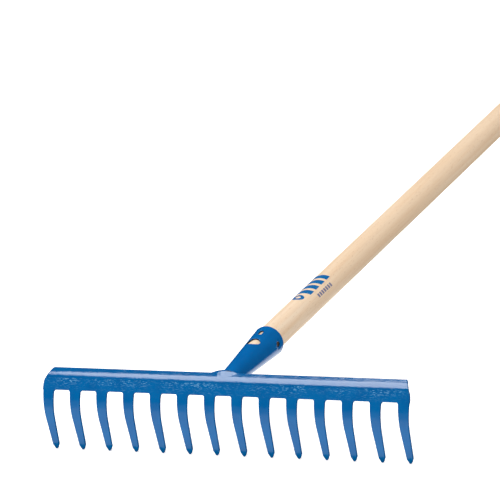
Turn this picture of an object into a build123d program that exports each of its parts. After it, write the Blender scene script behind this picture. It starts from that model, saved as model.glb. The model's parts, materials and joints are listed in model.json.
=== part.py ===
"""Garden rake with a stamped steel comb, a rolled conical socket and a turned wooden handle.

Every piece is drawn in the rake's own frame: X along the comb, Y along the handle away from
the comb, Z up from the tine points to the handle. The frame's origin lies on the handle's axis,
level with the plate's front face at the tops of the slots. The finished pieces are then laid
down as the rake lies on the ground, on its tine points and on the handle's butt.
"""
from build123d import *
from math import asin, atan2, cos, degrees, hypot, radians, sin
import os

os.makedirs("parts", exist_ok=True)

# ---------------------------------------------------------------- driving dimensions, mm
TINE_COUNT = 14
TINE_PITCH = 30.0
TINE_ROOT_WIDTH = 11.6
TINE_NECK_WIDTH = 6.6          # just above the point
TINE_POINT_WIDTH = 1.6
TINE_POINT_HEIGHT = 5.0
TINE_TIP_Z = -75.6
SHEET = 3.0                    # comb's sheet thickness
END_OVERHANG = 0.5             # the plate's ends stand this far outside the outer tines

SLOT_TOP_Z = -11.3             # slots' top edge, below the handle's axis
SLOT_CORNER_RADIUS = 2.2
PLATE_LEAN = 27.7              # degrees that the plate leans back towards the handle
PLATE_HEIGHT = 11.66           # up the plate, from the slots to the die mark
ROOT_STRAIGHT = 1.45           # straight start of a tine, below the slots' top edge
TINE_BEND = 34.3               # degrees of the bend in the tine's upper half
TINE_BEND_RADIUS = 49.5
TINE_LOWER_LENGTH = 36.0       # straight lower half, cut to length by the comb's outline

DIE_MARK_DEPTH = 0.65          # small ledge that the bending die leaves
DIE_MARK_LEAN = 80.0
ROOF_START_LEAN = 41.0
ROOF_END_LEAN = 71.0
ROOF_RADIUS = 17.4
ROOF_FLAT_LENGTH = 5.2
CORNER_START_Y = 4.0           # where the comb's rear corners begin to be cut back
CORNER_INSET = 7.1
CORNER_ROUNDING = 3.0
CORNER_SOFTENING = 8.0
CORNER_CLEARANCE = 0.1         # the corner outline passes this far behind the roof's edge

HANDLE_LENGTH = 1500.0
HANDLE_RADIUS = 14.0
BUTT_ROUNDING = 7.0
HANDLE_FRONT_Y = 38.0          # front end of the handle, inside the socket
HANDLE_FRONT_CHAMFER = 2.0

SOCKET_RIM_Y = 118.0
SOCKET_SHEET = 1.6
SOCKET_TAPER = 0.073           # loss of radius per millimetre towards the comb
SOCKET_GAP = 0.05              # between the handle and the socket's bore, along its top
SOCKET_SLACK = 1.0             # the loosely rolled cone is wider by this, and hangs lower by as much
SEAM_WIDTH = 1.0               # open seam along the socket's underside
WINDOW_Y = 84.0                # oval window on top of the socket
WINDOW_HALF_WIDTH = 7.2
WINDOW_HALF_LENGTH = 6.1
SIGHT_SLOT_Y = 103.5           # small slot between the window and the rim
SIGHT_SLOT_LENGTH = 8.6
SIGHT_SLOT_WIDTH = 4.0

NAIL_Y = 109.0                 # the two nails that hold the handle, one from each side
NAIL_HOLE_RADIUS = 2.9
NAIL_HEAD_RADIUS = 2.4
NAIL_HEAD_SEAT = 13.0          # from the handle's axis to the underside of a head
NAIL_HEAD_HEIGHT = 1.3
NAIL_HEAD_CHAMFER = 0.4
NAIL_SHANK_RADIUS = 1.3
NAIL_SHANK_LENGTH = 9.0
NAIL_TAPER_LENGTH = 3.0
NAIL_TIP_RADIUS = 0.3

UPPER_WELD_CENTRE = (-2.5, 17.6, 6.4)
UPPER_WELD_HALF_LENGTH = 9.0
UPPER_WELD_RADIUS = 3.1
UPPER_WELD_END_RADIUS = 0.8
LOWER_WELD_RADIUS = 1.9
LOWER_WELD_START = 190.0       # degrees round the socket's root, 270 underneath
LOWER_WELD_ARC = 160.0

# ---------------------------------------------------------------- derived dimensions
comb_width = (TINE_COUNT - 1) * TINE_PITCH + TINE_ROOT_WIDTH + 2 * END_OVERHANG
socket_rim_radius = HANDLE_RADIUS + SOCKET_GAP + SOCKET_SHEET + SOCKET_SLACK
socket_axis = Axis((0, 0, -SOCKET_SLACK), (0, 1, 0))
butt_y = HANDLE_FRONT_Y + HANDLE_LENGTH
beyond = 30.0                  # reach of the cutting outlines past the comb's section


def up_the_sheet(start, lean, length):
    """The point reached from start (y, z) by going up a sheet that leans back by lean."""
    return (start[0] + length * sin(radians(lean)), start[1] + length * cos(radians(lean)))


def into_the_sheet(point, lean, depth):
    """The point at a depth behind the front face of a sheet that leans back by lean."""
    return (point[0] + depth * cos(radians(lean)), point[1] - depth * sin(radians(lean)))


def direction(lean):
    """Unit vector going up a sheet that leans back by lean."""
    return (sin(radians(lean)), cos(radians(lean)))


def socket_radius(y):
    """Outer radius of the socket's cone at a place along the handle's axis."""
    return socket_rim_radius - SOCKET_TAPER * (SOCKET_RIM_Y - y)


def fitted_radius(y):
    """Radius of the wood that the socket holds, at a place along the handle's axis."""
    return socket_radius(y) - SOCKET_SLACK - SOCKET_SHEET - SOCKET_GAP


slot_top = (0.0, SLOT_TOP_Z)
tine_root = up_the_sheet(slot_top, PLATE_LEAN, -ROOT_STRAIGHT)
plate_top = up_the_sheet(slot_top, PLATE_LEAN, PLATE_HEIGHT)
roof_start = up_the_sheet(plate_top, DIE_MARK_LEAN, DIE_MARK_DEPTH)

# ---------------------------------------------------------------- comb
# One stamped sheet. Its section is swept along the comb, then cut to the outline that is seen
# from the front (the tines) and to the one that is seen from above (the rear corners).
with BuildPart() as rake_head:
    with BuildSketch(Plane.YZ):
        with BuildLine():
            bend = JernArc(
                start=tine_root,
                tangent=direction(PLATE_LEAN + 180),
                radius=TINE_BEND_RADIUS,
                arc_size=TINE_BEND,
            )
            Line(bend @ 1, bend @ 1 + (bend % 1) * TINE_LOWER_LENGTH)
            Line(tine_root, plate_top)
            Line(plate_top, roof_start)
            roof = JernArc(
                start=roof_start,
                tangent=direction(ROOF_START_LEAN),
                radius=ROOF_RADIUS,
                arc_size=ROOF_START_LEAN - ROOF_END_LEAN,
            )
            roof_flat = Line(roof @ 1, roof @ 1 + (roof % 1) * ROOF_FLAT_LENGTH)
            offset(amount=SHEET, side=Side.LEFT)
        make_face()
        roof_end = ((roof_flat @ 1).X, (roof_flat @ 1).Y)
    extrude(amount=comb_width / 2, both=True)

    with BuildSketch(Plane.XZ):
        with Locations((0, SLOT_TOP_Z)):
            Rectangle(comb_width, beyond, align=(Align.CENTER, Align.MIN))
        with GridLocations(TINE_PITCH, 0, TINE_COUNT, 1):
            Polygon(
                (-TINE_ROOT_WIDTH / 2, SLOT_TOP_Z),
                (-TINE_NECK_WIDTH / 2, TINE_TIP_Z + TINE_POINT_HEIGHT),
                (-TINE_POINT_WIDTH / 2, TINE_TIP_Z),
                (TINE_POINT_WIDTH / 2, TINE_TIP_Z),
                (TINE_NECK_WIDTH / 2, TINE_TIP_Z + TINE_POINT_HEIGHT),
                (TINE_ROOT_WIDTH / 2, SLOT_TOP_Z),
                align=None,
            )
        slot_corners = (
            vertices()
            .filter_by_position(Axis.Y, SLOT_TOP_Z - 0.01, SLOT_TOP_Z + 0.01)
            .filter_by_position(Axis.X, -comb_width / 2 + 1, comb_width / 2 - 1)
        )
        fillet(slot_corners, SLOT_CORNER_RADIUS)
    extrude(amount=2 * beyond, both=True, mode=Mode.INTERSECT)

    with BuildSketch(Plane.XY):
        rear_y = into_the_sheet(roof_end, ROOF_END_LEAN, SHEET)[0]
        Polygon(
            (-comb_width / 2, -beyond),
            (comb_width / 2, -beyond),
            (comb_width / 2, CORNER_START_Y),
            (comb_width / 2 - CORNER_INSET, rear_y + CORNER_CLEARANCE),
            (CORNER_INSET - comb_width / 2, rear_y + CORNER_CLEARANCE),
            (-comb_width / 2, CORNER_START_Y),
            align=None,
        )
        fillet(vertices().group_by(Axis.Y)[-1], CORNER_ROUNDING)
        fillet(vertices().group_by(Axis.Y)[1], CORNER_SOFTENING)
    extrude(amount=4 * beyond, both=True, mode=Mode.INTERSECT)

# ---------------------------------------------------------------- socket
# A cone rolled from thin sheet with an open seam underneath. Its narrow end is cut to the back
# of the comb: the cutting outline runs inside the sheet and leaves behind the roof's rear edge.
with BuildPart() as socket:
    front_radius = socket_radius(0)
    with BuildSketch(Plane.YZ):
        with Locations((0, -SOCKET_SLACK)):
            Polygon(
                (0, front_radius),
                (SOCKET_RIM_Y, socket_rim_radius),
                (SOCKET_RIM_Y, socket_rim_radius - SOCKET_SHEET),
                (0, front_radius - SOCKET_SHEET),
                align=None,
            )
    revolve(axis=socket_axis)
    rim_edges = socket.edges().group_by(Axis.Y)[-1]
    fillet(rim_edges, SOCKET_SHEET / 3)

    with BuildSketch(Plane.YZ):
        low = up_the_sheet(slot_top, PLATE_LEAN, -PLATE_HEIGHT)
        roof_middle = into_the_sheet(roof_end, ROOF_END_LEAN, SHEET / 2)
        Polygon(
            (-beyond, -beyond),
            (into_the_sheet(low, PLATE_LEAN, SHEET / 2)[0], -beyond),
            into_the_sheet(low, PLATE_LEAN, SHEET / 2),
            into_the_sheet(plate_top, PLATE_LEAN, SHEET / 2),
            roof_middle,
            (roof_middle[0], beyond),
            (-beyond, beyond),
            align=None,
        )
    extrude(amount=beyond, both=True, mode=Mode.SUBTRACT)
    add(rake_head.part, mode=Mode.SUBTRACT)

    with BuildSketch(Plane.XY):
        with Locations((0, WINDOW_Y)):
            Ellipse(WINDOW_HALF_WIDTH, WINDOW_HALF_LENGTH)
        with Locations((0, SIGHT_SLOT_Y)):
            SlotOverall(SIGHT_SLOT_LENGTH, SIGHT_SLOT_WIDTH, rotation=90)
    extrude(amount=beyond, mode=Mode.SUBTRACT)
    with BuildSketch(Plane.XY):
        Rectangle(SEAM_WIDTH, 2 * SOCKET_RIM_Y + beyond)
    extrude(amount=-beyond, mode=Mode.SUBTRACT)
    with BuildSketch(Plane.YZ):
        with Locations((NAIL_Y, 0)):
            Circle(NAIL_HOLE_RADIUS)
    extrude(amount=beyond, both=True, mode=Mode.SUBTRACT)

# ---------------------------------------------------------------- nails
# Flat-headed nails driven through the socket's sides into the handle.
with BuildPart() as fixing_nails:
    with BuildSketch(Plane.XY):
        head_top = NAIL_HEAD_SEAT + NAIL_HEAD_HEIGHT
        taper_start = NAIL_HEAD_SEAT - NAIL_SHANK_LENGTH + NAIL_TAPER_LENGTH
        with Locations((0, NAIL_Y)):
            Polygon(
                (head_top, 0),
                (head_top, NAIL_HEAD_RADIUS - NAIL_HEAD_CHAMFER),
                (head_top - NAIL_HEAD_CHAMFER, NAIL_HEAD_RADIUS),
                (NAIL_HEAD_SEAT, NAIL_HEAD_RADIUS),
                (NAIL_HEAD_SEAT, NAIL_SHANK_RADIUS),
                (taper_start, NAIL_SHANK_RADIUS),
                (taper_start - NAIL_TAPER_LENGTH, NAIL_TIP_RADIUS),
                (taper_start - NAIL_TAPER_LENGTH, 0),
                align=None,
            )
    revolve(axis=Axis((0, NAIL_Y, 0), (1, 0, 0)))
    mirror(about=Plane.YZ)

# ---------------------------------------------------------------- handle
# Turned beech: a cylinder with a domed butt and a front end that is tapered to fill the socket.
with BuildPart() as handle:
    with BuildSketch(Plane.YZ):
        Polygon(
            (HANDLE_FRONT_Y, 0),
            (HANDLE_FRONT_Y, fitted_radius(HANDLE_FRONT_Y)),
            (SOCKET_RIM_Y, HANDLE_RADIUS),
            (butt_y, HANDLE_RADIUS),
            (butt_y, 0),
            align=None,
        )
    revolve(axis=Axis.Y)
    fillet(handle.edges().group_by(Axis.Y)[-1], BUTT_ROUNDING)
    chamfer(handle.edges().group_by(Axis.Y)[0], HANDLE_FRONT_CHAMFER)
    add(fixing_nails.part, mode=Mode.SUBTRACT)

# ---------------------------------------------------------------- welds
# Two runs of weld metal: a lump over the roof's rear edge and a bead round the root's underside.
with BuildPart() as socket_root:
    with BuildSketch(Plane.YZ):
        with Locations((0, -SOCKET_SLACK)):
            Polygon(
                (0, 0),
                (0, socket_radius(0)),
                (SOCKET_RIM_Y, socket_rim_radius),
                (SOCKET_RIM_Y, 0),
                align=None,
            )
    revolve(axis=socket_axis)

with BuildPart() as upper_weld:
    with BuildSketch(Plane(origin=UPPER_WELD_CENTRE)):
        with BuildLine():
            left_end = (-UPPER_WELD_HALF_LENGTH, UPPER_WELD_END_RADIUS)
            right_end = (UPPER_WELD_HALF_LENGTH, UPPER_WELD_END_RADIUS)
            ThreePointArc(left_end, (0, UPPER_WELD_RADIUS), right_end)
            Polyline(right_end, (right_end[0], 0), (left_end[0], 0), left_end)
        make_face()
    revolve(axis=Axis(UPPER_WELD_CENTRE, (1, 0, 0)))
    add(rake_head.part, mode=Mode.SUBTRACT)
    add(socket_root.part, mode=Mode.SUBTRACT)

with BuildPart() as lower_weld:
    plate_back = Plane(
        origin=(0, *into_the_sheet(plate_top, PLATE_LEAN, SHEET)),
        x_dir=(1, 0, 0),
        z_dir=(0, -cos(radians(PLATE_LEAN)), sin(radians(PLATE_LEAN))),
    )
    with BuildLine(plate_back) as root_line:
        root_radius = socket_radius(plate_back.origin.Y)
        root_centre = (0, -(plate_back.origin.Z + SOCKET_SLACK) / cos(radians(PLATE_LEAN)))
        EllipticalCenterArc(
            root_centre,
            root_radius,
            root_radius / cos(radians(PLATE_LEAN)),
            start_angle=LOWER_WELD_START,
            arc_size=LOWER_WELD_ARC,
        )
    with BuildSketch(Plane(origin=root_line.line @ 0, z_dir=root_line.line % 0)):
        Circle(LOWER_WELD_RADIUS)
    sweep()
    add(rake_head.part, mode=Mode.SUBTRACT)
    add(socket_root.part, mode=Mode.SUBTRACT)

# ---------------------------------------------------------------- rest pose
# The rake is turned about X until the tine points and the domed butt touch the ground together.
# The points' rear edges then lie on the frame's X axis.
point_edge = rake_head.vertices().group_by(Axis.Z)[0].sort_by(Axis.Y)[-1]
dome_y = butt_y - BUTT_ROUNDING - point_edge.Y
dome_z = BUTT_ROUNDING - HANDLE_RADIUS - point_edge.Z
dip = atan2(dome_z, dome_y) - asin(BUTT_ROUNDING / hypot(dome_y, dome_z))
rest_pose = Location((0, 0, 0), (-degrees(dip), 0, 0)) * Location((0, -point_edge.Y, -point_edge.Z))

pieces = {
    "rake_head": rake_head,
    "socket": socket,
    "fixing_nails": fixing_nails,
    "handle": handle,
    "upper_weld": upper_weld,
    "lower_weld": lower_weld,
}
for name, piece in pieces.items():
    piece.part.move(rest_pose)
    piece.part.label = name
    export_step(piece.part, f"parts/{name}.step")
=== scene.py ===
"""Looks of the garden rake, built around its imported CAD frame.

Every piece is modelled in the rake's own frame: X along the comb, Y along the handle away from
the comb, Z up from the tine points to the handle. The origin lies on the handle's axis, level
with the plate's front face at the tops of the slots. Shapes are drawn in millimetres; RAKE takes
them to the row frame, in metres.
"""

import json
import math
import random

import bmesh
import bpy
from mathutils import Matrix, Vector, noise


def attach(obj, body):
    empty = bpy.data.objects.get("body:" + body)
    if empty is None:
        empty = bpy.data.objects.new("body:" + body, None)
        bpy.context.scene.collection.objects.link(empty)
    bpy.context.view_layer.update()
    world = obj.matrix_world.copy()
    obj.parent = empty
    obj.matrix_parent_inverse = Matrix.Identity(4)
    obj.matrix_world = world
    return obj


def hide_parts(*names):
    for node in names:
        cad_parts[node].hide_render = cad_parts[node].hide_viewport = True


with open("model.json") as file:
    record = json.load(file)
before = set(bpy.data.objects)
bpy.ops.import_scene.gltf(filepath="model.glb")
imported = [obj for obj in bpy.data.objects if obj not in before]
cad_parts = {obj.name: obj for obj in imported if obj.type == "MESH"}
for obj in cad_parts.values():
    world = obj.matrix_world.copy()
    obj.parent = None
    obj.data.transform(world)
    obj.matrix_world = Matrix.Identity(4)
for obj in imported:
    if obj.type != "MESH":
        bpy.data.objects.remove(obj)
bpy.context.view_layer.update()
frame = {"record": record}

MM = 0.001

# ---------------------------------------------------------------- sizes, mm and degrees
TINE_COUNT = 14
TINE_PITCH = 30.0
TINE_ROOT_WIDTH = 11.6
TINE_NECK_WIDTH = 6.6
TINE_POINT_WIDTH = 1.6
TINE_POINT_HEIGHT = 5.0
TINE_TIP_Z = -75.6
COMB_SHEET = 3.0
COMB_EDGE = 0.4                 # rounding of the sheet's cut edges
END_OVERHANG = 0.5              # how far the plate's ends stand outside the outer tines
END_STEP = (-0.4, 0.3)          # heights above the slots' tops between which they step out there
SLOT_TOP_Z = -11.3
SLOT_CORNER_RADIUS = 2.2
PLATE_LEAN = 27.7
PLATE_HEIGHT = 11.66
ROOT_STRAIGHT = 1.45            # flat stretch of each tine below the slots' tops
TINE_BEND = 34.3
TINE_BEND_RADIUS = 49.5
DIE_MARK_DEPTH = 0.65
DIE_MARK_LEAN = 80.0
ROOF_START_LEAN = 41.0
ROOF_END_LEAN = 71.0
ROOF_RADIUS = 17.4
ROOF_FLAT_LENGTH = 5.2
CORNER_START_Y = 4.0
CORNER_INSET = 7.1
CORNER_ROUNDING = 3.0
CORNER_SOFTENING = 8.0

SOCKET_RIM_Y = 118.0
SOCKET_SHEET = 1.6
SOCKET_EDGE = 0.45
SOCKET_TAPER = 0.073
SOCKET_GAP = 0.05
SOCKET_SLACK = 1.0              # the socket's axis lies this far below the handle's
SEAM_WIDTH = 1.0
WINDOW_Y = 84.0
WINDOW_HALF_WIDTH = 7.2
WINDOW_HALF_LENGTH = 6.1
SIGHT_SLOT_Y = 103.5
SIGHT_SLOT_LENGTH = 8.6
SIGHT_SLOT_WIDTH = 4.0
NAIL_Y = 109.0
NAIL_HOLE_RADIUS = 2.9
NAIL_DIMPLE_RADIUS = 6.0
NAIL_DIMPLE_DEPTH = 0.95
# (distance from the handle's axis, radius) from the domed head to the shank's point
NAIL_PROFILE = [(14.55, 0.6), (14.5, 1.3), (14.3, 1.9), (13.95, 2.3), (13.5, 2.4), (13.1, 2.3),
                (13.0, 1.9), (13.0, 1.3), (7.0, 1.3), (5.5, 0.8), (4.2, 0.3)]

WELD_START = -18.0              # upper weld's ends along the comb, where it sinks into the roof
WELD_END = 11.0
WELD_END_SIZE = 0.45            # its section there, as a share of that in its middle
WELD_HEART = (17.0, 3.6)        # (y, z) that the section shrinks towards
# (y, z) corners of the section, from the foot on the roof over the crest and back underneath
WELD_PROFILE = [(7.8, 1.1), (13.0, 4.35), (17.0, 6.5), (19.8, 8.0), (22.4, 7.8), (22.2, 5.2),
                (19.0, 3.0), (12.0, 0.9)]

BEAD_START = 188.0              # lower weld's first angle round the socket, from its right side
BEAD_SWEEP = 164.0
BEAD_RADIUS = 2.0
BEAD_BEHIND = 0.3               # its middle's distance from the back of the comb's plate
BEAD_OUTSIDE = 0.2              # and from the outside of the socket

HANDLE_RADIUS = 14.0
HANDLE_FRONT_Y = 38.0
HANDLE_FRONT_CHAMFER = 2.0
HANDLE_FITTED_YS = range(45, 118, 9)    # rings of the wood inside the socket
BUTT_ROUNDING = 7.0

# ---------------------------------------------------------------- the rake's frame in the row frame
handle_mount = next(m for m in frame["record"]["mounts"] if m["name"] == "handle")
along = Vector(handle_mount["axis"]).normalized()
upward = Vector((1, 0, 0)).cross(along)
rim_centre = Vector(handle_mount["pos_m"]) - along * handle_mount["dims"]["length_mm"] / 2 * MM
origin = rim_centre - along * SOCKET_RIM_Y * MM
RAKE = Matrix.Translation(origin) @ Matrix((Vector((1, 0, 0)), along, upward)).transposed().to_4x4()
BUTT_Y = SOCKET_RIM_Y + handle_mount["dims"]["length_mm"] + BUTT_ROUNDING


# ---------------------------------------------------------------- mesh helpers
def finish_piece(bm, name, material, nodes=()):
    """Turns a bmesh drawn in millimetres in the rake's frame into a smooth piece of the rake."""
    bmesh.ops.recalc_face_normals(bm, faces=bm.faces)
    mesh = bpy.data.meshes.new(name)
    for face in bm.faces:
        face.smooth = True
    bm.to_mesh(mesh)
    bm.free()
    mesh.transform(Matrix.Scale(MM, 4))
    mesh.materials.append(material)
    piece = bpy.data.objects.new(name, mesh)
    bpy.context.scene.collection.objects.link(piece)
    piece.matrix_world = RAKE
    piece.modifiers.new("soft_edges", "WEIGHTED_NORMAL").keep_sharp = True
    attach(piece, "root")
    if nodes:
        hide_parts(*nodes)


def crossing(low, high, is_below):
    """The place between low and high where is_below turns from true to false."""
    for _ in range(30):
        middle = (low + high) / 2
        if is_below(middle):
            low = middle
        else:
            high = middle
    return high


def arc(centre, radius, start, end, steps):
    """Points of an arc, angles in degrees from the first axis."""
    angles = [math.radians(start + (end - start) * i / steps) for i in range(steps + 1)]
    return [(centre[0] + radius * math.cos(a), centre[1] + radius * math.sin(a)) for a in angles]


def rounded_corner(before, corner, after, radius, steps):
    """Points of the arc that rounds a corner between two straight runs."""
    corner, before, after = Vector(corner), Vector(before), Vector(after)
    arrive = (corner - before).normalized()
    leave = (after - corner).normalized()
    turn = arrive.angle_signed(leave)
    reach = radius * math.tan(abs(turn) / 2)
    start = corner - arrive * reach
    side = math.copysign(1, -turn)
    centre = start + Vector((-arrive.y, arrive.x)) * side * radius
    spoke = start - centre
    points = []
    for i in range(steps + 1):
        angle = -turn * i / steps
        points.append(tuple(centre + Matrix.Rotation(angle, 2) @ spoke))
    return points


def inset(loop, amount):
    """A closed loop moved to its left by an amount, and by no more than twice that at a corner."""
    moved = []
    for i, point in enumerate(loop):
        before = Vector(loop[i - 1])
        here = Vector(point)
        after = Vector(loop[(i + 1) % len(loop)])
        arrive = (here - before).normalized()
        leave = (after - here).normalized()
        normal = Vector((-arrive.y - leave.y, arrive.x + leave.x)).normalized()
        reach = amount / max(0.5, normal.dot(Vector((-leave.y, leave.x))))
        moved.append(tuple(here + normal * reach))
    return moved


def sheet_solid(loops, thickness, edge, place, u_cuts=(), v_cuts=(), creases=(), edge_steps=3):
    """A closed sheet with rounded edges, drawn flat and then bent.

    loops are closed flat outlines of (u, v) with the sheet on their left; place(u, v, depth) gives
    the bent point; the flat faces are divided along the cuts, so that they can follow a bend, and
    stay sharp along the creases, which are some of the v cuts."""
    rings = []
    for i in range(edge_steps + 1):
        angle = math.pi / 2 * i / edge_steps
        rings.append((edge * (1 - math.sin(angle)), edge * (1 - math.cos(angle))))
    rings += [(amount, thickness - depth) for amount, depth in reversed(rings)]
    bm = bmesh.new()
    caps = ([], [])
    for loop in loops:
        rows = []
        for amount, depth in rings:
            rows.append([bm.verts.new((u, v, -depth)) for u, v in inset(loop, amount)])
        for lower, upper in zip(rows, rows[1:]):
            for i in range(len(loop)):
                bm.faces.new((lower[i - 1], lower[i], upper[i], upper[i - 1]))
        for cap, row in zip(caps, (rows[0], rows[-1])):
            cap.append(row)
    for cap in caps:
        if len(cap) == 1:
            bm.faces.new(cap[0])
        else:
            edges = [bm.edges.get((row[i - 1], row[i])) for row in cap for i in range(len(row))]
            bmesh.ops.triangle_fill(bm, use_beauty=True, edges=edges, normal=(0, 0, 1))
    for axis, cuts in enumerate((u_cuts, v_cuts)):
        for cut in cuts:
            point = [0, 0, 0]
            point[axis] = cut
            normal = [0, 0, 0]
            normal[axis] = 1
            geometry = bm.verts[:] + bm.edges[:] + bm.faces[:]
            bmesh.ops.bisect_plane(bm, geom=geometry, plane_co=point, plane_no=normal, dist=1e-4)
    for line in bm.edges:
        for crease in creases:
            if all(abs(vert.co.y - crease) < 1e-3 for vert in line.verts):
                line.smooth = False
    for vert in bm.verts:
        u, v, depth = vert.co
        vert.co = place(u, v, -depth)
    return bm


COARSE_LUMPS = 0.45             # how closely the lumps of a wobbly skin follow each other, per mm
FINE_LUMPS = 1.1


def skin_solid(bm, rows, wobble=0.0, seed=0):
    """Adds a closed skin over rows of points to a bmesh. Each row goes once round the solid;
    wobble moves the skin in and out by noise, in millimetres."""
    hubs = [sum(row, Vector()) / len(row) for row in rows]
    skin = []
    for row, hub in zip(rows, hubs):
        ring = []
        for point in row:
            lift = noise.noise(point * COARSE_LUMPS + Vector((seed, 0, 0))) * wobble
            lift += noise.noise(point * FINE_LUMPS + Vector((0, seed, 0))) * wobble / 2
            ring.append(bm.verts.new(point + (point - hub).normalized() * lift))
        skin.append(ring)
    for lower, upper in zip(skin, skin[1:]):
        for i in range(len(lower)):
            bm.faces.new((lower[i - 1], lower[i], upper[i], upper[i - 1]))
    for ring, hub in ((skin[0], hubs[0]), (skin[-1], hubs[-1])):
        tip = bm.verts.new(hub)
        for i in range(len(ring)):
            bm.faces.new((ring[i - 1], ring[i], tip))


def tube_solid(bm, stations, sides, wobble=0.0, seed=0):
    """Adds a closed tube to a bmesh. stations are (centre, first axis, second axis) of each
    elliptic section."""
    turns = [2 * math.pi * i / sides for i in range(sides)]
    rows = []
    for centre, first, second in stations:
        rows.append([centre + first * math.cos(a) + second * math.sin(a) for a in turns])
    skin_solid(bm, rows, wobble, seed)


def softened(loop, rounds):
    """A closed loop of points with its corners cut, again and again."""
    for _ in range(rounds):
        cut = []
        for i, point in enumerate(loop):
            before = loop[i - 1]
            cut.append(before.lerp(point, 0.25))
            cut.append(before.lerp(point, 0.75))
        loop = cut
    return loop


# ---------------------------------------------------------------- comb
class Section:
    """The comb's sheet seen from its end. v runs up the front face from the tops of the slots."""

    STEP = 0.05                 # millimetres between the points of a face
    BLUR = 40                   # steps each way over which the back face smooths out the die mark

    def __init__(self):
        self.v_bend = -ROOT_STRAIGHT - math.radians(TINE_BEND) * TINE_BEND_RADIUS
        self.v_roof = PLATE_HEIGHT + DIE_MARK_DEPTH
        roof_arc = math.radians(ROOF_END_LEAN - ROOF_START_LEAN) * ROOF_RADIUS
        self.v_flat = self.v_roof + roof_arc
        self.v_end = self.v_flat + ROOF_FLAT_LENGTH
        rising = self.walk(Vector((0, SLOT_TOP_Z)), 1)
        falling = self.walk(Vector((0, SLOT_TOP_Z)), -1)
        self.front = falling[:0:-1] + rising
        self.v_tip = -(len(falling) - 1) * self.STEP
        smooth = []
        for i in range(len(self.front)):
            reach = min(self.BLUR, i, len(self.front) - 1 - i)
            window = self.front[i - reach:i + reach + 1]
            smooth.append(sum(window, Vector((0, 0))) / len(window))
        self.back = []
        for i, point in enumerate(smooth):
            rise = smooth[min(i + 1, len(smooth) - 1)] - smooth[max(i - 1, 0)]
            rise.normalize()
            self.back.append(point + Vector((rise.y, -rise.x)) * COMB_SHEET)

    def lean(self, v):
        """Degrees that the front face leans back."""
        if v < self.v_bend:
            return PLATE_LEAN - TINE_BEND
        if v < -ROOT_STRAIGHT:
            return PLATE_LEAN + math.degrees((v + ROOT_STRAIGHT) / TINE_BEND_RADIUS)
        if v < PLATE_HEIGHT:
            return PLATE_LEAN
        if v < self.v_roof:
            return DIE_MARK_LEAN
        if v < self.v_flat:
            return ROOF_START_LEAN + math.degrees((v - self.v_roof) / ROOF_RADIUS)
        return ROOF_END_LEAN

    def walk(self, start, sense):
        """Points of the front face every STEP from the slots up to the roof's end or down to the tips."""
        points = [start]
        v = 0.0
        while v < self.v_end - self.STEP / 2 and points[-1].y > TINE_TIP_Z:
            lean = math.radians(self.lean(v + sense * self.STEP / 2))
            step = Vector((math.sin(lean), math.cos(lean))) * sense * self.STEP
            points.append(points[-1] + step)
            v += sense * self.STEP
        return points

    def at(self, v, depth):
        """(y, z) at a height up the sheet and a depth behind its front face."""
        place = min(max((v - self.v_tip) / self.STEP, 0), len(self.front) - 1.001)
        index = int(place)
        share = place - index
        front = self.front[index].lerp(self.front[index + 1], share)
        back = self.back[index].lerp(self.back[index + 1], share)
        return front.lerp(back, depth / COMB_SHEET)

    def height_at(self, y):
        """The height up the sheet's middle, above the slots, where it passes a given y."""
        return crossing(0.0, self.v_end, lambda v: self.at(v, COMB_SHEET / 2).x < y)


section = Section()
comb_half = ((TINE_COUNT - 1) * TINE_PITCH + TINE_ROOT_WIDTH) / 2 + END_OVERHANG


def tine_half_width(v):
    """Half the width of a tine at a height on the sheet, down to its neck."""
    z = section.at(v, 0).y
    share = (SLOT_TOP_Z - z) / (SLOT_TOP_Z - TINE_TIP_Z - TINE_POINT_HEIGHT)
    return (TINE_ROOT_WIDTH + (TINE_NECK_WIDTH - TINE_ROOT_WIDTH) * share) / 2


def comb_outline():
    """The stamped blank: tines with pointed ends below, cut corners at the rear edge above."""
    neck = section.v_tip + TINE_POINT_HEIGHT / math.cos(math.radians(PLATE_LEAN - TINE_BEND))
    steps = 14
    drop = neck + SLOT_CORNER_RADIUS
    levels = [-SLOT_CORNER_RADIUS + drop * i / steps for i in range(steps + 1)]
    loop = []
    for tine in range(TINE_COUNT):
        centre = (tine - (TINE_COUNT - 1) / 2) * TINE_PITCH
        reach = TINE_ROOT_WIDTH / 2 + SLOT_CORNER_RADIUS
        if tine > 0:
            loop += arc((centre - reach, -SLOT_CORNER_RADIUS), SLOT_CORNER_RADIUS, 90, 0, 6)[:-1]
        loop += [(centre - tine_half_width(v), v) for v in levels]
        loop += arc((centre, section.v_tip + TINE_POINT_WIDTH), TINE_POINT_WIDTH, 215, 325, 6)
        loop += [(centre + tine_half_width(v), v) for v in reversed(levels)]
        if tine < TINE_COUNT - 1:
            loop += arc((centre + reach, -SLOT_CORNER_RADIUS), SLOT_CORNER_RADIUS, 180, 90, 6)[1:]
    rear_y = section.at(section.v_end, COMB_SHEET).x
    cut_start = (comb_half, CORNER_START_Y)
    cut_end = (comb_half - CORNER_INSET, rear_y)
    side = rounded_corner((comb_half, 0), cut_start, cut_end, CORNER_SOFTENING, 5)
    side += rounded_corner(cut_start, cut_end, (0, rear_y), CORNER_ROUNDING, 8)
    corner = []
    for x, y in side:
        v = section.height_at(y)
        if not corner or v > corner[-1][1] + 1e-3 or abs(x - corner[-1][0]) > 0.3:
            corner.append((x, v))
    low, high = END_STEP
    end = [(comb_half - END_OVERHANG, low), (comb_half, high), *corner]
    loop += end
    loop += [(-x, v) for x, v in reversed(end)]
    return loop


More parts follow.
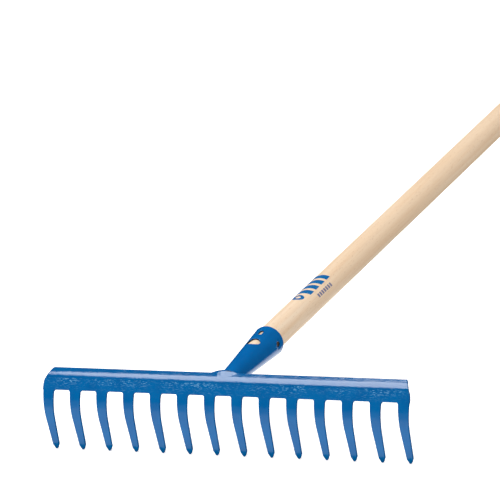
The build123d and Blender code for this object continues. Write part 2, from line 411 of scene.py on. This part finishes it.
def make_comb(material):
    """The stamped and bent comb."""
    bend_steps = 14
    shares = [i / bend_steps for i in range(bend_steps + 1)]
    cuts = [section.v_bend * (1 - share) - ROOT_STRAIGHT * share for share in shares]
    cuts += [0.0, PLATE_HEIGHT, section.v_roof]
    roof_steps = 12
    roof_arc = section.v_flat - section.v_roof
    cuts += [section.v_roof + roof_arc * i / roof_steps for i in range(1, roof_steps + 1)]
    columns = [(i - TINE_COUNT / 2) * TINE_PITCH for i in range(1, TINE_COUNT)]

    def place(u, v, depth):
        y, z = section.at(v, depth)
        return Vector((u, y, z))

    creases = [PLATE_HEIGHT, section.v_roof]
    bm = sheet_solid([comb_outline()], COMB_SHEET, COMB_EDGE, place, columns, cuts, creases)
    finish_piece(bm, "comb", material, ["rake_head"])


# ---------------------------------------------------------------- socket
RIM_RADIUS = HANDLE_RADIUS + SOCKET_GAP + SOCKET_SHEET + SOCKET_SLACK
FLAT_RADIUS = 14.0              # radius at which the socket's flat pattern has its true width


def socket_radius(y):
    """Outer radius of the socket's cone."""
    return RIM_RADIUS - SOCKET_TAPER * (SOCKET_RIM_Y - y)


def fitted_radius(y):
    """Radius of the wood that the socket holds."""
    return socket_radius(y) - SOCKET_SLACK - SOCKET_SHEET - SOCKET_GAP


def comb_middle(z):
    """The y of the middle of the comb's sheet at a height z, from under the slots' tops upward."""
    v = crossing(SLOT_TOP_Z * 1.5, section.v_end, lambda v: section.at(v, COMB_SHEET / 2).y < z)
    return section.at(v, COMB_SHEET / 2).x


def socket_start(angle):
    """Where the socket's sheet begins, along a line at an angle in radians round the handle. The
    cone's radius depends on the answer, so the answer is refined a few times."""
    y = 0.0
    for _ in range(12):
        y = comb_middle(socket_radius(y) * math.sin(angle) - SOCKET_SLACK)
    return y


def on_cone(x, y, z=None):
    """Flat-pattern point of the cone's top over (x, y), or of its right side beside (y, z)."""
    if z is None:
        return (FLAT_RADIUS * math.acos(x / socket_radius(y)), y)
    return (FLAT_RADIUS * math.asin((z + SOCKET_SLACK) / socket_radius(y)), y)


def socket_outline():
    """The rolled blank, with its seam edges underneath, and the holes in it."""
    gap = SEAM_WIDTH / 2
    steps = 96
    first = math.asin(gap / socket_radius(socket_start(-math.pi / 2))) - math.pi / 2
    last = math.pi - first
    loop = []
    for i in range(steps + 1):
        angle = first + (last - first) * i / steps
        loop.append((FLAT_RADIUS * angle, socket_start(angle)))
    start = loop[0][1]
    seam_steps = 10
    levels = [start + (SOCKET_RIM_Y - start) * i / seam_steps for i in range(1, seam_steps + 1)]
    seam = [(FLAT_RADIUS * (math.asin(gap / socket_radius(y)) - math.pi / 2), y) for y in levels]
    width = FLAT_RADIUS * math.pi
    loop += [(width - u, y) for u, y in seam]
    rim_start, rim_end = seam[-1][0], width - seam[-1][0]
    loop += [(rim_end + (rim_start - rim_end) * i / steps, SOCKET_RIM_Y) for i in range(1, steps)]
    loop += reversed(seam)

    window = []
    for x, y in arc((0, 0), 1, 0, 360, 48)[:-1]:
        window.append(on_cone(x * WINDOW_HALF_WIDTH, WINDOW_Y + y * WINDOW_HALF_LENGTH))
    end_radius = SIGHT_SLOT_WIDTH / 2
    reach = SIGHT_SLOT_LENGTH / 2 - end_radius
    slot = arc((0, SIGHT_SLOT_Y + reach), end_radius, 0, 180, 10)
    slot += arc((0, SIGHT_SLOT_Y - reach), end_radius, 180, 360, 10)
    sight = [on_cone(x, y) for x, y in slot]
    nail = [on_cone(0, y, z) for y, z in arc((NAIL_Y, 0), NAIL_HOLE_RADIUS, 0, 360, 24)[:-1]]
    far_nail = [(width - u, y) for u, y in reversed(nail)]
    return [loop, window, sight, nail, far_nail]


def make_socket(material):
    """The rolled socket, dimpled round its nail holes, where its mesh is twice as fine."""
    columns = [FLAT_RADIUS * math.radians(a) for a in range(-86, 268, 4)]
    columns += [FLAT_RADIUS * math.radians(a + s) for a in (0, 180) for s in range(-24, 25, 4)]
    rows = [NAIL_Y + s for s in range(-7, 8)]

    def place(u, v, depth):
        angle = u / FLAT_RADIUS
        radius = socket_radius(v) - depth
        height = radius * math.sin(angle) - SOCKET_SLACK
        away = math.hypot(height, v - NAIL_Y) - NAIL_HOLE_RADIUS
        share = min(max(1 - away / (NAIL_DIMPLE_RADIUS - NAIL_HOLE_RADIUS), 0), 1)
        radius -= NAIL_DIMPLE_DEPTH * share * share * (3 - 2 * share)
        return Vector((radius * math.cos(angle), v, radius * math.sin(angle) - SOCKET_SLACK))

    bm = sheet_solid(socket_outline(), SOCKET_SHEET, SOCKET_EDGE, place, columns, rows)
    finish_piece(bm, "socket_shell", material, ["socket"])


# ---------------------------------------------------------------- nails
def make_nails(material):
    """Two domed nail heads with their shanks."""
    bm = bmesh.new()
    for side, seed in ((1, 3), (-1, 11)):
        stations = []
        for reach, radius in NAIL_PROFILE:
            centre = Vector((side * reach, NAIL_Y, 0))
            stations.append((centre, Vector((0, radius, 0)), Vector((0, 0, radius))))
        tube_solid(bm, stations, sides=24, wobble=0.08, seed=seed)
    finish_piece(bm, "nails", material, ["fixing_nails"])


# ---------------------------------------------------------------- handle
def make_handle(material):
    """The turned handle, tapered inside the socket and domed at its butt."""
    bm = bmesh.new()
    inner = fitted_radius(HANDLE_FRONT_Y)
    profile = [(HANDLE_FRONT_Y, inner - HANDLE_FRONT_CHAMFER)]
    profile.append((HANDLE_FRONT_Y + HANDLE_FRONT_CHAMFER, inner))
    profile += [(y, fitted_radius(y)) for y in HANDLE_FITTED_YS]
    profile.append((SOCKET_RIM_Y, HANDLE_RADIUS))
    dome_start = BUTT_Y - BUTT_ROUNDING
    length = dome_start - SOCKET_RIM_Y
    steps = 60
    profile += [(SOCKET_RIM_Y + length * i / steps, HANDLE_RADIUS) for i in range(1, steps)]
    profile += arc((dome_start, HANDLE_RADIUS - BUTT_ROUNDING), BUTT_ROUNDING, 90, 4, 10)
    stations = []
    for y, radius in profile:
        stations.append((Vector((0, y, 0)), Vector((radius, 0, 0)), Vector((0, 0, radius))))
    tube_solid(bm, stations, sides=96)
    finish_piece(bm, "handle_shaft", material, ["handle"])


# ---------------------------------------------------------------- welds
RIPPLE_PACE = 2.9               # radians of a ripple in a millimetre of bead
RIPPLE_JITTER = 0.02
END_SHARE = 0.015               # of the path, at which the bead's end sections are measured


def bead(path, across, radius, ripple, seed):
    """Sections of a run of weld metal along a path of points, with the ripples the torch leaves.
    Each section is round, with one spoke along the direction across."""
    rng = random.Random(seed)
    stations = []
    travelled = 0.0
    for i, point in enumerate(path):
        before = path[max(i - 1, 0)]
        after = path[min(i + 1, len(path) - 1)]
        travelled += (point - before).length
        heading = (after - before).normalized()
        first = (across - heading * across.dot(heading)).normalized()
        second = heading.cross(first)
        share = min(max(i / (len(path) - 1), END_SHARE), 1 - END_SHARE)
        taper = math.sin(math.pi * share) ** 0.5
        wave = ripple * math.sin(travelled * RIPPLE_PACE)
        size = taper * (1 + wave + rng.uniform(-RIPPLE_JITTER, RIPPLE_JITTER))
        stations.append((point, first * radius * size, second * radius * size))
    return stations


def make_upper_weld(material):
    """The fillet of weld that ramps from the roof over its rear edge onto the socket."""
    bm = bmesh.new()
    outline = softened([Vector((0, y, z)) for y, z in WELD_PROFILE], 2)
    heart = Vector((0, *WELD_HEART))
    steps = 40
    rows = []
    for i in range(steps + 1):
        share = i / steps
        x = WELD_START + (WELD_END - WELD_START) * share
        size = 1 - (1 - WELD_END_SIZE) * (2 * share - 1) ** 2
        rows.append([heart + (point - heart) * size + Vector((x, 0, 0)) for point in outline])
    skin_solid(bm, rows, wobble=0.15, seed=5)
    finish_piece(bm, "weld_lump", material, ["upper_weld"])


def make_lower_weld(material):
    """The bead round the underside of the socket's root, on the back of the comb's plate."""
    bm = bmesh.new()
    path = []
    steps = 64
    for i in range(steps + 1):
        angle = math.radians(BEAD_START + BEAD_SWEEP * i / steps)
        y = socket_start(angle) + COMB_SHEET / 2 / math.cos(math.radians(PLATE_LEAN)) + BEAD_BEHIND
        radius = socket_radius(y) + BEAD_OUTSIDE
        path.append(Vector((radius * math.cos(angle), y, radius * math.sin(angle) - SOCKET_SLACK)))
    stations = bead(path, Vector((0, 1, 0)), BEAD_RADIUS, ripple=0.05, seed=8)
    tube_solid(bm, stations, sides=20, wobble=0.3, seed=8)
    finish_piece(bm, "weld_bead", material, ["lower_weld"])


# ---------------------------------------------------------------- printed mark
MARK_START = 193.5              # nearest part of the mark to the comb
MARK_ANGLE = 92.0               # degrees round the handle from its right side to the mark's middle
MARK_INK = 0.06                 # thickness of the ink, exaggerated so that it stays above the wood
RING_RADIUS = 6.5
RING_HOLE_RADIUS = 2.8
BAR_COUNT = 4
BAR_START = 15.5                # of the first bar, from MARK_START
BAR_PITCH = 14.0
BAR_LENGTH = 9.0
BAR_SLANT = 4.5
BAR_EDGES = (-9.0, 8.6)         # across the handle
DASH_COUNT = 7
DASH_START = 28.0               # of the first dash, from MARK_START
DASH_PITCH = 5.1
DASH_LENGTH = 3.4
DASH_SLANT = 0.8
DASH_EDGES = (12.8, 17.2)


def on_handle(u, v, depth):
    """Wraps the flat print round the handle: u goes round it, v along it."""
    angle = math.radians(MARK_ANGLE) - u / HANDLE_RADIUS
    radius = HANDLE_RADIUS + MARK_INK - depth
    return Vector((radius * math.cos(angle), v, radius * math.sin(angle)))


def add_print(target, *loops):
    """Adds one inked shape to the print's bmesh."""
    left = min(u for u, _ in loops[0])
    width = max(u for u, _ in loops[0]) - left
    steps = 12
    cuts = [left + width * i / steps for i in range(1, steps)]
    shape = sheet_solid(loops, MARK_INK, MARK_INK / 4, on_handle, cuts, edge_steps=1)
    mesh = bpy.data.meshes.new("ink")
    shape.to_mesh(mesh)
    shape.free()
    target.from_mesh(mesh)
    bpy.data.meshes.remove(mesh)


def slanted_bar(start, length, slant, edges):
    """Outline of a bar between two edges across the handle; the slant shifts the second of them."""
    first, second = edges
    shifted = start + slant
    return [(first, start), (second, shifted), (second, shifted + length), (first, start + length)]


def make_mark(material, grey):
    """A plain printed mark: a ring and slanted bars, and beside them a row of dashes."""
    bm = bmesh.new()
    centre = (0, MARK_START + RING_RADIUS)
    hole = arc(centre, RING_HOLE_RADIUS, 360, 0, 28)[:-1]
    add_print(bm, arc(centre, RING_RADIUS, 0, 360, 40)[:-1], hole)
    for i in range(BAR_COUNT):
        start = MARK_START + BAR_START + i * BAR_PITCH
        add_print(bm, slanted_bar(start, BAR_LENGTH, BAR_SLANT, BAR_EDGES))
    finish_piece(bm, "printed_mark", material)
    bm = bmesh.new()
    for i in range(DASH_COUNT):
        start = MARK_START + DASH_START + i * DASH_PITCH
        add_print(bm, slanted_bar(start, DASH_LENGTH, DASH_SLANT, DASH_EDGES))
    finish_piece(bm, "printed_dashes", grey)


# ---------------------------------------------------------------- materials
def linear(red, green, blue):
    """A colour given as 0 to 255 display values, as the shader's linear values."""
    values = []
    for value in (red, green, blue):
        share = value / 255
        values.append(share / 12.92 if share <= 0.04045 else ((share + 0.055) / 1.055) ** 2.4)
    return (*values, 1)


class Shader:
    """A Principled material whose nodes are added one line at a time."""

    def __init__(self, name, **sockets):
        self.material = bpy.data.materials.new(name)
        self.material.use_nodes = True
        self.nodes = self.material.node_tree.nodes
        self.links = self.material.node_tree.links
        self.shader = self.nodes["Principled BSDF"]
        for socket, value in sockets.items():
            self.shader.inputs[socket.replace("_", " ")].default_value = value
        self.coordinates = self.nodes.new("ShaderNodeTexCoord").outputs["Object"]

    def add(self, kind, inputs, **settings):
        """Adds a node; its inputs are values or other nodes' sockets. Returns its first output."""
        node = self.nodes.new("ShaderNode" + kind)
        for name, value in settings.items():
            setattr(node, name, value)
        for key, value in inputs.items():
            if isinstance(value, bpy.types.NodeSocket):
                self.links.new(value, node.inputs[key])
            else:
                node.inputs[key].default_value = value
        return node.outputs[0]

    def stretch(self, scale):
        """The object's coordinates scaled along its three axes."""
        return self.add("Mapping", {"Vector": self.coordinates, "Scale": scale})

    def noise(self, scale, detail=2.0, vector=None, roughness=0.5):
        """Smooth noise; scale is in features per metre."""
        vector = vector or self.coordinates
        inputs = {"Vector": vector, "Scale": scale, "Detail": detail, "Roughness": roughness}
        return self.add("TexNoise", inputs)

    def remap(self, value, low, high, to_low=0.0, to_high=1.0):
        """Takes a value from one range to another, smoothly and clamped."""
        inputs = {"Value": value, "From Min": low, "From Max": high, "To Min": to_low, "To Max": to_high}
        return self.add("MapRange", inputs, interpolation_type="SMOOTHSTEP")

    def maths(self, operation, first, second):
        """A two-input Math node."""
        return self.add("Math", {0: first, 1: second}, operation=operation)

    def mix(self, share, first, second):
        """A mix of two colours."""
        node = self.nodes.new("ShaderNodeMix")
        node.data_type = "RGBA"
        for index, value in ((0, share), (6, first), (7, second)):
            if isinstance(value, bpy.types.NodeSocket):
                self.links.new(value, node.inputs[index])
            else:
                node.inputs[index].default_value = value
        return node.outputs[2]

    def bump(self, height, strength, distance, normal=None):
        """A bump node; distance is in metres."""
        inputs = {"Height": height, "Strength": strength, "Distance": distance}
        if normal:
            inputs["Normal"] = normal
        return self.add("Bump", inputs)

    def set(self, **sockets):
        """Links sockets of the Principled shader. Returns the finished material."""
        for socket, source in sockets.items():
            self.links.new(source, self.shader.inputs[socket.replace("_", " ")])
        return self.material


def comb_paint():
    """Blue enamel with an orange-peel skin, and pale flecks on the plate, most of them near the die mark.
    The flecks are painted glints: they stand in for the overhead light caught by the skin. Heights are in
    metres, in the rake's frame."""
    s = Shader("comb_enamel")
    peel = s.noise(420, 2.0)
    speck_noise = s.noise(1.0, 1.5, s.stretch((300, 800, 2200)))
    waves = s.noise(60, 1.0)
    patches = s.noise(22, 1.0)
    height = s.add("SeparateXYZ", {"Vector": s.coordinates}).node.outputs[2]
    on_plate = s.maths("MULTIPLY", s.remap(height, -0.0125, -0.0095), s.remap(height, 0.0, -0.001))
    near_crease = s.maths("MULTIPLY", on_plate, s.remap(height, -0.008, -0.002, 0.25, 1.0))
    gathered = s.maths("MULTIPLY", near_crease, s.remap(patches, 0.37, 0.6, 0.25, 1.0))
    # painted glints: pale flecks that stand in for the overhead light caught by the orange-peel skin,
    # gathered near the die mark
    flecks = s.maths("MULTIPLY", s.remap(speck_noise, 0.57, 0.65), gathered)
    base = s.mix(s.remap(waves, 0.3, 0.7), linear(0, 91, 156), linear(0, 97, 162))
    colour = s.mix(flecks, base, linear(110, 168, 208))
    skin = s.maths("ADD", s.maths("MULTIPLY", peel, 0.8), s.maths("MULTIPLY", speck_noise, 0.2))
    normal = s.bump(skin, 0.5, 0.00027, s.bump(waves, 0.3, 0.0008))
    return s.set(Base_Color=colour, Roughness=s.remap(peel, 0.3, 0.7, 0.08, 0.13), Normal=normal)


def socket_paint():
    """The same enamel, smoother on the rolled sheet, with painted shade on its cut edges and inside:
    faces that turn away from the outside are coloured dark.
    """
    s = Shader("socket_enamel", Specular_IOR_Level=0.4)
    waves = s.noise(55, 1.5)
    peel = s.noise(380, 2.0)
    place = {"Vector": s.coordinates, "Location": (0, 0, SOCKET_SLACK * MM), "Scale": (1, 0, 1)}
    outward = s.add("VectorMath", {0: s.add("Mapping", place)}, operation="NORMALIZE")
    skin = {0: outward, 1: s.coordinates.node.outputs["Normal"]}
    facing_out = s.add("VectorMath", skin, operation="DOT_PRODUCT").node.outputs["Value"]
    base = s.mix(s.remap(waves, 0.3, 0.7), linear(0, 101, 176), linear(0, 106, 182))
    # painted shade: the cut edges of the window, slot, rim and seam, and the inside, are coloured dark as
    # if in shadow
    colour = s.mix(s.remap(facing_out, 0.72, 0.3), base, linear(8, 26, 44))
    normal = s.bump(peel, 0.08, 0.0002, s.bump(waves, 0.15, 0.0008))
    return s.set(Base_Color=colour, Roughness=s.remap(peel, 0.3, 0.7, 0.14, 0.2), Normal=normal)


def beech():
    """Pale turned beech: long soft grain, short dark flecks and a fine sanded tooth."""
    s = Shader("beech", Specular_IOR_Level=0.25)
    grain = s.noise(1.0, 3.0, s.stretch((150, 4.0, 150)), 0.6)
    fine = s.noise(1.0, 2.0, s.stretch((900, 22, 900)), 0.6)
    flecks = s.noise(1.0, 1.0, s.stretch((1300, 190, 1300)))
    broad = s.noise(1.0, 1.5, s.stretch((38, 2.2, 38)))
    colour = s.mix(s.remap(grain, 0.35, 0.68), linear(252, 231, 207), linear(245, 217, 187))
    colour = s.mix(s.remap(broad, 0.4, 0.7, 0.0, 0.3), colour, linear(240, 206, 166))
    colour = s.mix(s.remap(flecks, 0.62, 0.74, 0.0, 0.4), colour, linear(200, 158, 118))
    colour = s.mix(s.remap(fine, 0.5, 0.8, 0.0, 0.25), colour, linear(226, 190, 152))
    normal = s.bump(fine, 0.2, 0.0002, s.bump(flecks, 0.1, 0.0002))
    return s.set(Base_Color=colour, Roughness=s.remap(fine, 0.3, 0.7, 0.45, 0.62), Normal=normal)


def browned_steel():
    """Dull nail heads with brown bloom and hammer marks."""
    s = Shader("browned_steel", Metallic=0.3)
    bloom = s.noise(500, 3.0)
    marks = s.noise(900, 1.0)
    colour = s.mix(s.remap(bloom, 0.35, 0.65), linear(96, 84, 74), linear(122, 84, 52))
    rough = s.remap(bloom, 0.3, 0.7, 0.4, 0.7)
    return s.set(Base_Color=colour, Roughness=rough, Normal=s.bump(marks, 0.4, 0.0002))


def ink(name, full, thin):
    """Printing ink, a little thinner where the wood's grain shows through."""
    s = Shader(name, Specular_IOR_Level=0.05)
    grain = s.noise(1.0, 2.0, s.stretch((900, 40, 900)), 0.6)
    worn = s.noise(260, 3.0)
    share = s.maths("MULTIPLY", s.remap(grain, 0.45, 0.75), s.remap(worn, 0.35, 0.7))
    colour = s.mix(share, full, thin)
    rough = s.remap(worn, 0.3, 0.7, 0.42, 0.6)
    return s.set(Base_Color=colour, Roughness=rough, Normal=s.bump(grain, 0.15, 0.0002))


# ---------------------------------------------------------------- stage
FLOOR_SIZE = 9                  # metres from the middle to each edge
FLOOR_GLOW = 0.55
ROOM_COLOUR = (1, 0.95, 0.88, 1)
ROOM_LIGHT = 0.7

# name, shape, place, point it faces, width, depth, radiance and what the light is kept to, metres
LIGHTS = [
    ("overhead", "ELLIPSE", (-0.55, 0.33, 2.08), (-0.55, 0.33, 0), 1.6, 1.78, 7.4, "reflections"),
    ("key", "ELLIPSE", (-0.7, 0.3, 2.08), (-0.7, 0.3, 0), 1.6, 1.65, 4.1, "shade"),
    ("fill", "RECTANGLE", (-1.2, -2.2, 2.0), (0, 0.2, 0.1), 2.4, 1.8, 1.0, "shade"),
    ("near_card", "RECTANGLE", (-0.6, -0.31, 0.002), (-0.6, -0.31, 1), 2.0, 0.6, 1.0, None),
    ("far_card", "RECTANGLE", (-0.6, -1.41, 0.002), (-0.6, -1.41, 1), 2.6, 1.6, 0.7, None),
    ("backdrop", "RECTANGLE", (-0.8, -2.4, 0.3), (-0.8, 0, 0.3), 3.0, 0.6, 0.35, "reflections"),
    ("rear_card", "RECTANGLE", (-0.27, 0.24, 0.002), (-0.27, 0.24, 1), 0.66, 0.24, 1.6, "reflections"),
]


def make_floor():
    """A pale studio floor, lit a little from within so that shadows stay faint."""
    bm = bmesh.new()
    bmesh.ops.create_grid(bm, x_segments=40, y_segments=40, size=FLOOR_SIZE)
    mesh = bpy.data.meshes.new("floor")
    bm.to_mesh(mesh)
    bm.free()
    floor = bpy.data.objects.new("floor", mesh)
    bpy.context.scene.collection.objects.link(floor)
    s = Shader("pale_floor", Roughness=0.9, Specular_IOR_Level=0.0, Emission_Strength=FLOOR_GLOW)
    tone = s.mix(s.noise(3, 2.0), linear(250, 250, 250), linear(247, 248, 249))
    floor.data.materials.append(s.set(Base_Color=tone, Emission_Color=tone))
    floor.visible_glossy = False
    floor.visible_diffuse = False


def area_light(name, shape, place, aim, width, depth, radiance, only):
    """A studio light of an even radiance at a place, facing a point. only is "shade" for a light
    that nothing mirrors, "reflections" for one that is only mirrored, or None."""
    light = bpy.data.lights.new(name, "AREA")
    light.shape = shape
    light.size = width
    light.size_y = depth
    area = width * depth * (math.pi / 4 if shape == "ELLIPSE" else 1)
    light.energy = radiance * area * math.pi
    lamp = bpy.data.objects.new(name, light)
    bpy.context.scene.collection.objects.link(lamp)
    lamp.location = place
    lamp.rotation_euler = (Vector(aim) - Vector(place)).to_track_quat("-Z", "Y").to_euler()
    lamp.visible_camera = False
    lamp.visible_glossy = only != "shade"
    lamp.visible_diffuse = only != "reflections"


def make_lights():
    """A softbox overhead that the comb's roof mirrors, a key and a fill light that shade the
    piece, pale cards on the floor and a backdrop that the tines and the socket's underside mirror,
    and a dim warm room."""
    for light in LIGHTS:
        area_light(*light)
    world = bpy.data.worlds.new("room")
    world.use_nodes = True
    background = world.node_tree.nodes["Background"]
    background.inputs["Color"].default_value = ROOM_COLOUR
    background.inputs["Strength"].default_value = ROOM_LIGHT
    world.cycles_visibility.glossy = False
    bpy.context.scene.world = world
    bpy.context.scene.view_settings.view_transform = "Standard"


# ---------------------------------------------------------------- camera
VIEW_AZIMUTH = 27.134           # degrees to the right of straight in front of the comb
VIEW_ELEVATION = 21.812
VIEW_ROLL = -9.419
VIEW_LENS = 346.31
VIEW_DISTANCE = 4.69228
VIEW_AIM = (0.05638, 0.00232, 0.22352)


def make_camera():
    """A long lens from the front right and above, tilted to its right."""
    data = bpy.data.cameras.new("camera")
    data.lens = VIEW_LENS
    data.sensor_width = 36
    data.clip_end = 60
    camera = bpy.data.objects.new("camera", data)
    bpy.context.scene.collection.objects.link(camera)
    turn = Matrix.Rotation(math.radians(VIEW_AZIMUTH), 4, "Z")
    tilt = Matrix.Rotation(math.radians(90 - VIEW_ELEVATION), 4, "X")
    roll = Matrix.Rotation(math.radians(VIEW_ROLL), 4, "Z")
    back = Matrix.Translation((0, 0, VIEW_DISTANCE))
    camera.matrix_world = Matrix.Translation(VIEW_AIM) @ turn @ tilt @ roll @ back
    bpy.context.scene.camera = camera


enamel = comb_paint()
make_comb(enamel)
make_upper_weld(enamel)
make_lower_weld(enamel)
make_socket(socket_paint())
make_nails(browned_steel())
make_handle(beech())
make_mark(ink("blue_ink", linear(0, 106, 178), linear(80, 146, 192)),
          ink("grey_ink", linear(128, 132, 166), linear(180, 172, 180)))
make_floor()
make_lights()
make_camera()
